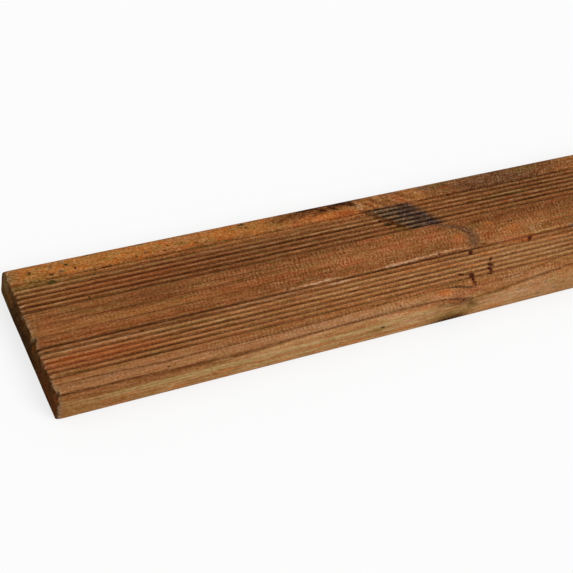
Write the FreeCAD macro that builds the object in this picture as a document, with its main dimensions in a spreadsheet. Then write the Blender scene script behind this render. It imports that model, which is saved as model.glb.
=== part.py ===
import FreeCAD, Part
import math
import os
import Sketcher

# Grooved softwood decking board, planed from one plank and lying with its grooved face up.
# X runs along the board, Y across it and Z up. The origin is the middle of the underside.
# All lengths are in millimetres.

NODE = "decking_board"

SIZES = {
    # Planed plank
    "board_length": 1800.0,
    "board_width": 145.0,
    "board_thickness": 28.0,
    "arris_radius": 4.0,
    # Two bands of rounded grooves along the walking face, with a plain strip between them
    "grooves_per_band": 7,
    "groove_pitch": 5.2,
    "groove_depth": 1.5,
    "ridge_flat": 0.6,
    "ridge_radius": 1.0,
    # From each long side to the middle of the outermost groove. The front margin is the wider one.
    "front_margin": 23.2,
    "back_margin": 19.2,
    # How far the grooving cutter's outline stands above the walking face
    "cutter_clearance": 2.0,
}

VOLUME_TOLERANCE = 1e-4
PARALLEL_TOLERANCE = 1e-6


def make_sheet(doc):
    """Puts the driving sizes in a spreadsheet, one named cell each."""
    sheet = doc.addObject("Spreadsheet::Sheet", "sizes")
    for row, (name, value) in enumerate(SIZES.items(), start=1):
        sheet.set(f"A{row}", name)
        sheet.set(f"B{row}", str(value))
        sheet.setAlias(f"B{row}", name)
    doc.recompute()
    return sheet


def sketch_across(body, name):
    """Adds a sketch on the plane that cuts straight across the board: its x is Y and its y is Z."""
    plane = next(f for f in body.Origin.OriginFeatures if f.Role == "YZ_Plane")
    sketch = body.newObject("Sketcher::SketchObject", name)
    sketch.AttachmentSupport = [(plane, "")]
    sketch.MapMode = "FlatFace"
    return sketch


def constrain(sketch, kind, *arguments):
    """Adds a constraint that holds a shape and has no size."""
    sketch.addConstraint(Sketcher.Constraint(kind, *arguments))


def dimension(sketch, name, formula, kind, *arguments):
    """Adds a dimension and ties it to the spreadsheet."""
    index = sketch.addConstraint(Sketcher.Constraint(kind, *arguments))
    sketch.renameConstraint(index, name)
    sketch.setExpression(f".Constraints.{name}", formula)


# How a sketch numbers the points of a line or arc, and its own origin
START = 1
END = 2
CENTRE = 3
ORIGIN = (-1, 1)


def plank_sketch(body):
    """The sawn rectangle of the plank, standing on the underside."""
    sketch = sketch_across(body, "plank_section")
    width = SIZES["board_width"]
    thickness = SIZES["board_thickness"]
    corners = [
        FreeCAD.Vector(-width / 2, 0),
        FreeCAD.Vector(width / 2, 0),
        FreeCAD.Vector(width / 2, thickness),
        FreeCAD.Vector(-width / 2, thickness),
    ]
    underside, back, top, front = [
        sketch.addGeometry(Part.LineSegment(corner, following))
        for corner, following in zip(corners, corners[1:] + corners[:1])
    ]
    for line, following in ((underside, back), (back, top), (top, front), (front, underside)):
        constrain(sketch, "Coincident", line, END, following, START)
    for line in (underside, top):
        constrain(sketch, "Horizontal", line)
    for line in (back, front):
        constrain(sketch, "Vertical", line)
    constrain(sketch, "Symmetric", underside, START, underside, END, *ORIGIN)
    dimension(sketch, "width", "sizes.board_width", "DistanceX", underside, START, underside, END, width)
    dimension(sketch, "thickness", "sizes.board_thickness", "DistanceY", back, START, back, END, thickness)
    return sketch


def groove_sketch(body, name, middle, middle_formula):
    """One rounded groove: a round root between two rounded ridge shoulders, open at the top."""
    sketch = sketch_across(body, name)
    top = SIZES["board_thickness"]
    depth = SIZES["groove_depth"]
    shoulder = SIZES["ridge_radius"]
    half_width = (SIZES["groove_pitch"] - SIZES["ridge_flat"]) / 2
    # The root runs smoothly into both shoulders, which sets its radius from the groove's width and depth.
    root = (half_width ** 2 + depth ** 2) / (2 * depth) - shoulder
    flank = math.asin(half_width / (root + shoulder))
    upright = math.pi / 2

    def arc(y, z, radius, start, end):
        circle = Part.Circle(FreeCAD.Vector(y, z), FreeCAD.Vector(0, 0, 1), radius)
        return sketch.addGeometry(Part.ArcOfCircle(circle, start, end))

    front_shoulder = arc(middle - half_width, top - shoulder, shoulder, upright - flank, upright)
    root_arc = arc(middle, top - depth + root, root, -upright - flank, -upright + flank)
    back_shoulder = arc(middle + half_width, top - shoulder, shoulder, upright, upright + flank)
    lid = top + SIZES["cutter_clearance"]
    corners = [
        FreeCAD.Vector(middle + half_width, top),
        FreeCAD.Vector(middle + half_width, lid),
        FreeCAD.Vector(middle - half_width, lid),
        FreeCAD.Vector(middle - half_width, top),
    ]
    riser, cover, fall = [
        sketch.addGeometry(Part.LineSegment(corner, following))
        for corner, following in zip(corners, corners[1:])
    ]
    constrain(sketch, "Tangent", front_shoulder, START, root_arc, START)
    constrain(sketch, "Tangent", root_arc, END, back_shoulder, END)
    constrain(sketch, "Coincident", back_shoulder, START, riser, START)
    constrain(sketch, "Coincident", riser, END, cover, START)
    constrain(sketch, "Coincident", cover, END, fall, START)
    constrain(sketch, "Coincident", fall, END, front_shoulder, END)
    constrain(sketch, "Vertical", riser)
    constrain(sketch, "Vertical", fall)
    constrain(sketch, "Horizontal", cover)
    constrain(sketch, "Vertical", front_shoulder, CENTRE, front_shoulder, END)
    constrain(sketch, "Vertical", back_shoulder, CENTRE, back_shoulder, START)
    constrain(sketch, "Equal", front_shoulder, back_shoulder)
    constrain(sketch, "Horizontal", front_shoulder, END, back_shoulder, START)
    width_formula = "(sizes.groove_pitch - sizes.ridge_flat)"
    dimension(sketch, "shoulder_radius", "sizes.ridge_radius", "Radius", front_shoulder, shoulder)
    dimension(sketch, "root_radius",
              f"(({width_formula} / 2) ^ 2 + sizes.groove_depth ^ 2) / (2 * sizes.groove_depth)"
              " - sizes.ridge_radius", "Radius", root_arc, root)
    dimension(sketch, "width", width_formula, "DistanceX", front_shoulder, END, back_shoulder, START,
              2 * half_width)
    dimension(sketch, "face_height", "sizes.board_thickness", "DistanceY", *ORIGIN, front_shoulder, END,
              top)
    dimension(sketch, "clearance", "sizes.cutter_clearance", "DistanceY", riser, START, riser, END,
              lid - top)
    dimension(sketch, "middle", middle_formula, "DistanceX", *ORIGIN, root_arc, CENTRE, middle)
    return sketch


def cut_groove_band(body, side, middle, middle_formula, towards_front):
    """Ploughs the outermost groove along the whole board, then repeats it towards the middle."""
    sketch = groove_sketch(body, f"{side}_groove_section", middle, middle_formula)
    groove = body.newObject("PartDesign::Pocket", f"{side}_groove")
    groove.Profile = sketch
    groove.Type = "ThroughAll"
    groove.Midplane = True
    band = body.newObject("PartDesign::LinearPattern", f"{side}_groove_band")
    band.Originals = [groove]
    band.Direction = (sketch, ["H_Axis"])
    band.Reversed = towards_front
    band.setExpression("Length", "sizes.groove_pitch * (sizes.grooves_per_band - 1)")
    band.setExpression("Occurrences", "sizes.grooves_per_band")
    body.Tip = band
    return band


def long_edges(shape):
    """Names the edges that run along the board."""
    names = []
    for number, edge in enumerate(shape.Edges, start=1):
        direction = edge.tangentAt(edge.FirstParameter)
        if abs(abs(direction.x) - 1) < PARALLEL_TOLERANCE:
            names.append(f"Edge{number}")
    return names


def make_board(doc):
    """The plank: sawn and planed to section, its long arrises eased, its walking face grooved."""
    body = doc.addObject("PartDesign::Body", "board")
    body.Label = NODE
    plank = body.newObject("PartDesign::Pad", "plank")
    plank.Profile = plank_sketch(body)
    plank.Midplane = True
    plank.setExpression("Length", "sizes.board_length")
    doc.recompute()

    arrises = body.newObject("PartDesign::Fillet", "arrises")
    arrises.Base = (plank, long_edges(plank.Shape))
    arrises.setExpression("Radius", "sizes.arris_radius")
    doc.recompute()

    front_middle = SIZES["front_margin"] - SIZES["board_width"] / 2
    back_middle = SIZES["board_width"] / 2 - SIZES["back_margin"]
    cut_groove_band(body, "front", front_middle, "sizes.front_margin - sizes.board_width / 2", False)
    cut_groove_band(body, "back", back_middle, "sizes.board_width / 2 - sizes.back_margin", True)
    body.Placement = FreeCAD.Placement()
    return body


def groove_area():
    """The area that one groove takes out of the section."""
    depth = SIZES["groove_depth"]
    half_width = (SIZES["groove_pitch"] - SIZES["ridge_flat"]) / 2
    shoulder = SIZES["ridge_radius"]
    # The arcs' centres form a triangle: the shoulders' centres at its foot, the root's centre at its top.
    # Beside it, under the walking face, the shoulders' sectors stay wood. The root's sector is all cut.
    leg = (half_width ** 2 + depth ** 2) / (2 * depth)
    root = leg - shoulder
    flank = math.asin(half_width / leg)
    triangle = half_width * leg * math.cos(flank)
    strip_above_shoulder_centres = 2 * half_width * shoulder
    return strip_above_shoulder_centres - triangle + (root ** 2 - shoulder ** 2) * flank


def check(doc, body):
    """Stops if a feature failed or the solid isn't the size that the sections give."""
    for item in doc.Objects:
        if "Invalid" in item.State or "Error" in item.State:
            raise RuntimeError(f"{item.Name} failed: {item.State}")
    shape = body.Shape
    if shape.isNull() or not shape.isValid() or len(shape.Solids) != 1:
        raise RuntimeError("the board isn't one valid solid")
    radius = SIZES["arris_radius"]
    section = SIZES["board_width"] * SIZES["board_thickness"] - (4 - math.pi) * radius ** 2
    section -= 2 * SIZES["grooves_per_band"] * groove_area()
    expected = section * SIZES["board_length"]
    print("volume", shape.Volume, "expected", expected)
    if abs(shape.Volume - expected) > VOLUME_TOLERANCE * expected:
        raise RuntimeError("the grooves or arrises didn't cut what they should")


doc = FreeCAD.newDocument("decking")
make_sheet(doc)
board = make_board(doc)
doc.recompute()
check(doc, board)
os.makedirs("parts", exist_ok=True)
board.Shape.exportStep(os.path.join("parts", board.Label + ".step"))
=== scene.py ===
import math
from functools import partial, reduce

import bpy
from mathutils import Matrix, Vector


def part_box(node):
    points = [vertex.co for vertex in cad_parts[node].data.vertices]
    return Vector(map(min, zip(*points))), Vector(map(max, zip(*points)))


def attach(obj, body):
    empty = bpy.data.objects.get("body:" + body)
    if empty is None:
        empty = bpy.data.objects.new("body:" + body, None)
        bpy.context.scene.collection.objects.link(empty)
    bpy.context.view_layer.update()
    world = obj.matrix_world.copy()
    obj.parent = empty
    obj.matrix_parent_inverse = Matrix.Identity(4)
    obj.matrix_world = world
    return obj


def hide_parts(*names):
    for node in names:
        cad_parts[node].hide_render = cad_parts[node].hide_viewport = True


bl_info = {
    "name": "Grooved Decking Board",
    "version": (1, 0, 0),
    "blender": (4, 5, 0),
    "location": "3D View > Sidebar > Decking",
    "description": "Dresses a grooved softwood decking board and sets up its photograph",
    "category": "Add Mesh",
}

# The frame, and the board's own box in it
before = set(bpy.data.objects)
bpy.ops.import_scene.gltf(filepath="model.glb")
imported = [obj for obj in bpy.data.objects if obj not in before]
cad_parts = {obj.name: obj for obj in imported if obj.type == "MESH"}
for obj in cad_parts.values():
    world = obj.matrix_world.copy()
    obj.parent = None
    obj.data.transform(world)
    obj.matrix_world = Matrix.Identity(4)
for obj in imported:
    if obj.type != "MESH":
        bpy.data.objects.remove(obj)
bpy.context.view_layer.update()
NODE = "decking_board"
BODY = "root"
MM = 0.001
BOARD_LOW, BOARD_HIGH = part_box(NODE)
BOARD_LENGTH = BOARD_HIGH.x - BOARD_LOW.x
BOARD_WIDTH = BOARD_HIGH.y - BOARD_LOW.y
BOARD_TOP = BOARD_HIGH.z
WIDTH_MM = BOARD_WIDTH / MM
TOP_MM = BOARD_TOP / MM

# Kinds of node by short names, some with the setting that the name stands for
MAPPING = "ShaderNodeMapping"
NOISE = "ShaderNodeTexNoise"
SEPARATE = "ShaderNodeSeparateXYZ"
COMBINE = "ShaderNodeCombineXYZ"
NAMED_ATTRIBUTE = "GeometryNodeInputNamedAttribute"
STORE_ATTRIBUTE = "GeometryNodeStoreNamedAttribute"
SET_POSITION = "GeometryNodeSetPosition"
SHADE_SMOOTH = "GeometryNodeSetShadeSmooth"
SET_MATERIAL = "GeometryNodeSetMaterial"
BLEND = ("ShaderNodeMix", {"data_type": "RGBA"})
RAMP = "ShaderNodeMapRange"
SMOOTH_RAMP = (RAMP, {"interpolation_type": "SMOOTHSTEP"})
MATH = "ShaderNodeMath"
PLUS = (MATH, {"operation": "ADD"})
MINUS = (MATH, {"operation": "SUBTRACT"})
TIMES = (MATH, {"operation": "MULTIPLY"})
OVER = (MATH, {"operation": "DIVIDE"})
POWER = (MATH, {"operation": "POWER"})
SINE = (MATH, {"operation": "SINE"})
UNSIGNED = (MATH, {"operation": "ABSOLUTE"})
LARGEST = (MATH, {"operation": "MAXIMUM"})
SMALLEST = (MATH, {"operation": "MINIMUM"})
ROUND_DOWN = (MATH, {"operation": "FLOOR"})
REMAINDER = (MATH, {"operation": "FLOORED_MODULO"})
BELOW = (MATH, {"operation": "LESS_THAN"})
ABOVE = (MATH, {"operation": "GREATER_THAN"})
VECTOR_MATH = "ShaderNodeVectorMath"
VECTOR_PLUS = (VECTOR_MATH, {"operation": "ADD"})
VECTOR_MINUS = (VECTOR_MATH, {"operation": "SUBTRACT"})
VECTOR_TIMES = (VECTOR_MATH, {"operation": "MULTIPLY"})
VECTOR_LARGEST = (VECTOR_MATH, {"operation": "MAXIMUM"})
VECTOR_SMALLEST = (VECTOR_MATH, {"operation": "MINIMUM"})
VECTOR_SCALED = (VECTOR_MATH, {"operation": "SCALE"})
VECTOR_LENGTH = (VECTOR_MATH, {"operation": "LENGTH"})

# Names of the numbers that the board's mesh carries. The last is dropped once the board is worn
GROOVE_SHARE = "groove_share"
SAWN_END = "sawn_end"
SPREAD = "spread"


def linear(hex_colour):
    """An sRGB colour such as #A9754A as linear red, green, blue and alpha."""
    channels = [int(hex_colour[place:place + 2], 16) / 255 for place in (1, 3, 5)]
    return (*[c / 12.92 if c <= 0.04045 else ((c + 0.055) / 1.055) ** 2.4 for c in channels], 1)


def add_node(tree, kind, *values, named=None, **settings):
    """Adds a node with its settings and fills its shown inputs in order, then those that are named.

    A value is a number, a socket or a node, whose first shown output is linked. None leaves an input alone.
    """
    kind, preset = kind if isinstance(kind, tuple) else (kind, {})
    node = tree.nodes.new(kind)
    for name, setting in {**preset, **settings}.items():
        setattr(node, name, setting)
    shown = [socket for socket in node.inputs if socket.enabled]
    pairs = list(zip(shown, values))
    pairs += [(node.inputs[name], value) for name, value in (named or {}).items()]
    for socket, value in pairs:
        if isinstance(value, bpy.types.Node):
            value = next(output for output in value.outputs if output.enabled)
        if isinstance(value, bpy.types.NodeSocket):
            tree.links.new(value, socket)
        elif value is not None:
            socket.default_value = value
    return node


def fold(add, kind, first, *others):
    """One node after another of a kind with two inputs, such as the sum or product of many values."""
    return reduce(partial(add, kind), others, first)


# Sizes and colours that a user would change

def setting(name, description, default, kind=bpy.props.FloatProperty, **limits):
    """A setting that a user can change, a plain number unless another kind is given."""
    return kind(name=name, description=description, default=default, **limits)


def length(name, description, millimetres):
    """A length, given in millimetres."""
    return setting(name, description, millimetres * MM, min=0, unit="LENGTH")


def fraction(name, description, default, most=1):
    """A part of one, up to the most that is allowed."""
    return setting(name, description, default, min=0, max=most, subtype="FACTOR")


def angle(name, description, degrees):
    """An angle, given in degrees."""
    return setting(name, description, math.radians(degrees), subtype="ANGLE")


def colour(name, description, hex_colour):
    """A colour, given as it looks on a screen."""
    vector = bpy.props.FloatVectorProperty
    return setting(name, description, linear(hex_colour), vector, subtype="COLOR", size=4)


class DeckingBoardSizes(bpy.types.PropertyGroup):
    """The planed section and how its ends and ridges are worn."""

    arris_radius: length("Arris radius", "Rounding of the four long edges", 4)
    grooves_per_band: setting(
        "Grooves per band", "How many grooves each of the two bands has", 7, bpy.props.IntProperty, min=1)
    groove_pitch: length("Groove pitch", "From the middle of one groove to the next", 5.2)
    groove_depth: length("Groove depth", "From the walking face to a groove's bottom", 1.5)
    ridge_flat: length("Ridge flat", "Flat left on top of a ridge between two grooves", 0.6)
    ridge_radius: length("Ridge radius", "Rounding of a ridge's shoulders", 1)
    front_margin: length("Front margin", "From the front side to the middle of the first groove", 23.2)
    back_margin: length("Back margin", "From the back side to the middle of the first groove", 19.2)
    rows: setting(
        "Rows", "Sections along the board, closest together at its ends", 370, bpy.props.IntProperty, min=2)
    end_rings: setting("End rings", "Rings of faces on each sawn end", 12, bpy.props.IntProperty, min=1)
    crowding: fraction("Crowding", "How much closer the sections lie towards the ends", 0.88, most=0.95)
    torn_length: length("Torn length", "How far the broken edge reaches in from the shown end", 7)
    torn_depth: length("Torn depth", "How far the broken edge is worn down", 1.6)
    torn_pull: length("Torn pull", "How far the broken edge stands back from the end", 2.1)
    eased_edge: length("Eased edge", "How far the edge round the shown end is rubbed away", 0.9)
    eased_length: length("Eased length", "How far the rubbed edge reaches in from the shown end", 3)
    saw_roughness: length("Saw roughness", "Height of the torn fibres on the shown end", 0.5)
    ridge_wear: length("Ridge wear", "How unevenly the walking face is worn down", 0.16)
    seed: setting("Seed", "Place in the noise that the wear is read from", 3.7)


class DeckingBoardColours(bpy.types.PropertyGroup):
    """The colours of the treated wood."""

    early_wood: colour("Early wood", "Tan of the wide pale part of each growth ring", "#AD7748")
    brown_wood: colour("Brown wood", "Usual brown of the treated face", "#7A4A28")
    late_wood: colour("Late wood", "Dark narrow part of each growth ring", "#552F14")
    red_tint: colour("Red tint", "Reddish stain where the treatment went deep", "#965028")
    rosy: colour("Rosy wood", "Pink-brown patches of the walking face", "#AC643E")
    orange: colour("Orange", "Bright resin stain", "#BD6C30")
    gold: colour("Gold", "Yellow-brown sapwood", "#B1783A")
    olive_tint: colour("Olive tint", "Green-brown of the copper salts", "#76602E")
    side_brown: colour("Side brown", "Darker streaks of the sides", "#8E6338")
    side_gold: colour("Side gold", "Yellow sapwood of the sides", "#B79162")
    side_green: colour("Side green", "Green-yellow streaks of the sides", "#A48F5C")
    ridge: colour("Ridge", "Paler wood on top of the ridges", "#B08358")
    ridge_red: colour("Reddish ridge", "Redder wood on top of some ridges", "#AF6C42")
    # Painted shade: each groove's bottom is darkened towards this colour by its depth
    groove: colour("Groove", "Dark bottom of a groove", "#41230C")
    bent_brown: colour("Bent brown", "Dark lobes of the grain round the knot", "#7C4C2A")
    bent_gold: colour("Bent gold", "Pale lobes of the grain round the knot", "#A67A4A")
    straw: colour("Straw", "Yellow ridges without late wood", "#BB945E")
    # Also painted shade in the bottoms of the chips at the shown end
    speck_and_chip_shade: colour("Speck", "Near-black specks of pitch", "#301606")
    pitch_red: colour("Pitch red", "Dark red of open pitch pockets", "#42140A")
    # Also painted glints beside the chips at the shown end
    blue_grey_and_glint: colour("Blue grey", "Smears of tool dirt", "#55504E")
    moss: colour("Moss", "Dark green spot of mould", "#3A3714")
    pale_fibre: colour("Pale fibre", "Fibres broken white", "#C8A27E")
    tail: colour("Tail", "Grey-brown fibres bent round the knot", "#664A36")
    knot_tan: colour("Knot tan", "Tan-grey wood of the knot", "#7E6A50")
    knot_slate: colour("Knot slate", "Bark stain on the knot's ridges", "#483D3A")
    # The knot's own dark grain, and painted shade in the knot's grooves, which darken to it by their depth
    knot_black_and_groove_shade: colour("Knot black", "Bark stain in the knot's grooves", "#191517")
    worn_grey: colour("Worn grey", "Ridges worn pale beside the shown end", "#A08868")
    end_brown: colour("End brown", "Dark soaked end grain", "#422811")
    end_olive: colour("End olive", "Lighter olive patches on the end grain", "#5C4122")
    end_red: colour("End red", "Reddish end grain towards the front", "#553019")


class DeckingStageSettings(bpy.types.PropertyGroup):
    """The floor, lamps and camera."""

    floor_size: length("Floor size", "Side of the square floor", 24000)
    floor_colour: colour("Floor colour", "Colour of the floor", "#F4F4F4")
    floor_glow: fraction("Floor glow", "How much plain white the camera sees in the floor", 0.72)
    sky_strength: setting("Sky strength", "Even light from all round", 0.46)
    key_strength: setting("Key strength", "Soft main lamp from the front right", 1.95)
    fill_strength: setting("Fill strength", "Weak lamp from behind on the left", 0.5)
    lens: setting("Lens", "Focal length on a 36 mm wide sensor", 85.74, subtype="DISTANCE_CAMERA")
    azimuth: angle("Azimuth", "Turn of the view from straight across the board", 36.855)
    elevation: angle("Elevation", "How steeply the camera looks down", 46.593)
    roll: angle("Roll", "Tilt of the camera about its own axis", 15.601)
    distance: length("Distance", "From the camera to the point it looks at", 1206.96)
    aim: setting(
        "Aim", "Point on the walking face in the middle of the picture",
        (-668.23 * MM, -12.53 * MM, 28 * MM), bpy.props.FloatVectorProperty, subtype="TRANSLATION")


# The board's section

SHOULDER_STEPS = 2
ROOT_STEPS = 4
ARRIS_STEPS = 5
FLAT_STEP = 1.6 * MM
SIDE_STEPS = 5
UNDERSIDE_STEPS = 9


def arc_points(centre, radius, start, end, steps):
    """Points on an arc in the board's section, both ends included."""
    angles = [start + (end - start) * step / steps for step in range(steps + 1)]
    return [(centre[0] + radius * math.cos(a), centre[1] + radius * math.sin(a)) for a in angles]


def groove_points(middle, sizes):
    """One groove's outline from front to back: shoulder, root and shoulder, each smooth with the next."""
    half_width = (sizes.groove_pitch - sizes.ridge_flat) / 2
    leg = (half_width ** 2 + sizes.groove_depth ** 2) / (2 * sizes.groove_depth)
    root = leg - sizes.ridge_radius
    flank = math.asin(half_width / leg)
    upright = math.pi / 2
    shoulder_height = BOARD_TOP - sizes.ridge_radius
    front = arc_points((middle - half_width, shoulder_height), sizes.ridge_radius,
                       upright, upright - flank, SHOULDER_STEPS)
    bottom = arc_points((middle, BOARD_TOP - sizes.groove_depth + root), root,
                        -upright - flank, -upright + flank, ROOT_STEPS)
    back = arc_points((middle + half_width, shoulder_height), sizes.ridge_radius,
                      upright + flank, upright, SHOULDER_STEPS)
    return front[:-1] + bottom + back[1:]


def straight_points(start, end, steps):
    """Points strictly between two ends of a straight stretch."""
    return [(start[0] + (end[0] - start[0]) * step / steps, start[1] + (end[1] - start[1]) * step / steps)
            for step in range(1, steps)]


def plain_steps(start, end):
    """How many steps a plain stretch of the sides or the underside is divided into."""
    gap = math.dist(start, end)
    if gap < FLAT_STEP:
        return 1
    return UNDERSIDE_STEPS if gap > (BOARD_HIGH.z - BOARD_LOW.z) else SIDE_STEPS


def section_points(sizes):
    """The closed section, from the front of the walking face to its back and round underneath."""
    radius = sizes.arris_radius
    low, high = BOARD_LOW.y, BOARD_HIGH.y
    bottom, top = BOARD_LOW.z, BOARD_TOP
    band = sizes.groove_pitch * (sizes.grooves_per_band - 1)
    starts = (low + sizes.front_margin, high - sizes.back_margin - band)
    middles = [start + sizes.groove_pitch * number
               for start in starts for number in range(sizes.grooves_per_band)]
    points = [(low + radius, top)]
    for middle in middles:
        groove = groove_points(middle, sizes)
        flat = groove[0][0] - points[-1][0]
        points += straight_points(points[-1], groove[0], max(1, round(flat / FLAT_STEP)))
        points += groove
    corner = (high - radius, top)
    points += straight_points(points[-1], corner, round((corner[0] - points[-1][0]) / FLAT_STEP))
    quarter = math.pi / 2
    for centre, start in (
            ((high - radius, top - radius), quarter),
            ((high - radius, bottom + radius), 0),
            ((low + radius, bottom + radius), -quarter),
            ((low + radius, top - radius), -2 * quarter)):
        arris = arc_points(centre, radius, start, start - quarter, ARRIS_STEPS)
        points += straight_points(points[-1], arris[0], plain_steps(points[-1], arris[0]))
        points += arris
    return points[:-1]


def section_object(sizes):
    """A mesh of loose points in the order of the section, each with its share of a groove's depth."""
    points = section_points(sizes)
    mesh = bpy.data.meshes.new("section")
    mesh.from_pydata([(0, y, z) for y, z in points], [], [])
    share = mesh.attributes.new(GROOVE_SHARE, "FLOAT", "POINT")
    reach = BOARD_WIDTH / 2 - sizes.arris_radius
    half_height = 0.5 * BOARD_TOP
    depths = [(BOARD_TOP - z) / sizes.groove_depth if abs(y) < reach and z > half_height else 0
              for y, z in points]
    share.data.foreach_set("value", depths)
    section = bpy.data.objects.new("section", mesh)
    bpy.context.collection.objects.link(section)
    return section


# The board's mesh: the section carried along the board, closed by rings on both ends

# What the nodes are given and the kind of each. Sizes go in under the names that the user sees
SWEEP_INPUTS = {
    "Section": "Object",
    "Length": "Float",
    "Middle height": "Float",
    "Rows": "Int",
    "End rings": "Int",
    "Crowding": "Float",
    "Torn length": "Float",
    "Torn depth": "Float",
    "Torn pull": "Float",
    "Eased edge": "Float",
    "Eased length": "Float",
    "Saw roughness": "Float",
    "Ridge wear": "Float",
    "Seed": "Float",
    "Face material": "Material",
    "End material": "Material",
}
MERGE_DISTANCE = 0.004 * MM
SHARP_ANGLE = math.radians(50)

# The plain block inside the board, which wear moves the edges towards and which lies below the grooves
EDGE_INSET = 4 * MM
INNER_LOW = (-BOARD_LENGTH, BOARD_LOW.y + EDGE_INSET, BOARD_LOW.z + EDGE_INSET)
INNER_HIGH = (BOARD_LENGTH, BOARD_HIGH.y - EDGE_INSET, BOARD_TOP - EDGE_INSET)

# Share of the end rings, counted from the middle, at which the rim starts
RIM_START = 0.75

# Length, width and height in millimetres of the cells of each wear's noise
TORN_CELL = (40, 4.6, 6)
SUNK_CELL = (30, 7, 6)
RIDGE_CELL = (16, 2.2, 6)
SAWN_CELL = (9, 2.6, 2)
RUBBED_CELL = (20, 5, 4)

# Wear of the walking face sets in between these heights
WEAR_FROM = BOARD_TOP - 5 * MM
WEAR_FULL = BOARD_TOP - 1.6 * MM

# Chips broken out of the shown end's upper edge: Y and width across the board, how deep and how far in
END_CHIPS = (
    (64, 6.5, 2.2, 3.8),
    (54, 3, 1.2, 2.4),
    (6.7, 5, 1.8, 3.6),
    (101, 3.5, 0.8, 1.8),
)
CHIP_HEIGHT = 4 * MM
CHIP_PULL = 0.6

# How far round the lower front corner it is knocked off, how deep and which way
KNOCKED_REACH = 6.5 * MM
KNOCKED_DEPTH = 1.1 * MM
KNOCKED_WAY = (0.7, 0.5, 0.5)


def wear_noise(add, position, cell, seed):
    """Noise from 0 to 1 whose cells have the given length, width and height in millimetres."""
    stretched = add(VECTOR_TIMES, position, tuple(1 / (size * MM) for size in cell))
    noise = add(NOISE, stretched, seed, 1, 2, 0.6, noise_dimensions="4D")
    return add(RAMP, noise, 0.3, 0.7)


def inner_place(add, place):
    """The nearest point of the plain block inside the board."""
    return add(VECTOR_SMALLEST, add(VECTOR_LARGEST, place, INNER_LOW), INNER_HIGH)


def sweep_place(add, inputs, section):
    """Each grid point's row and column, and from them its place on the board."""
    count = add("GeometryNodeAttributeDomainSize", section, component="MESH")
    columns = add(PLUS, count, 1)
    rings = inputs["End rings"]
    rows = add(PLUS, inputs["Rows"], add(TIMES, rings, 2))
    grid = add("GeometryNodeMeshGrid", 1, 1, rows, columns)
    index = add("GeometryNodeInputIndex")
    row = add(ROUND_DOWN, add(OVER, index, columns))
    station = add(REMAINDER, add(REMAINDER, index, columns), count)
    outline = add("GeometryNodeSampleIndex", section, add("GeometryNodeInputPosition"), station,
                  data_type="FLOAT_VECTOR")
    stored = add(NAMED_ATTRIBUTE, GROOVE_SHARE, data_type="FLOAT")
    share = add("GeometryNodeSampleIndex", section, stored, station, data_type="FLOAT")

    # Along the board: rows crowd together towards both ends
    steps = add(MINUS, inputs["Rows"], 1)
    travel = add(OVER, add(MINUS, row, rings), steps, use_clamp=True)
    wave = add(SINE, add(TIMES, travel, math.tau))
    eased = add(TIMES, wave, add(OVER, inputs["Crowding"], math.tau))
    share_along = fold(add, MINUS, travel, eased, 0.5)
    along = add(TIMES, share_along, inputs["Length"])

    # On the ends: the rim's rings shrink to a plain rectangle below the grooves, the others to the middle
    ring = add(SMALLEST, row, add(MINUS, add(MINUS, rows, 1), row))
    spread = add(OVER, ring, rings, use_clamp=True)
    middle = add(COMBINE, 0, 0, inputs["Middle height"])
    core = inner_place(add, outline)
    arm = add(VECTOR_MINUS, core, middle)
    arm = add(VECTOR_SCALED, arm, add(RAMP, spread, 0, RIM_START))
    rim = add(VECTOR_MINUS, outline, core)
    rim = add(VECTOR_SCALED, rim, add(RAMP, spread, RIM_START, 1))
    _, y, z = add(SEPARATE, fold(add, VECTOR_PLUS, middle, arm, rim)).outputs
    place = add(COMBINE, along, y, z)
    on_end = add(BELOW, ring, add(PLUS, rings, 0.5))
    return grid, place, share, spread, on_end


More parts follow.
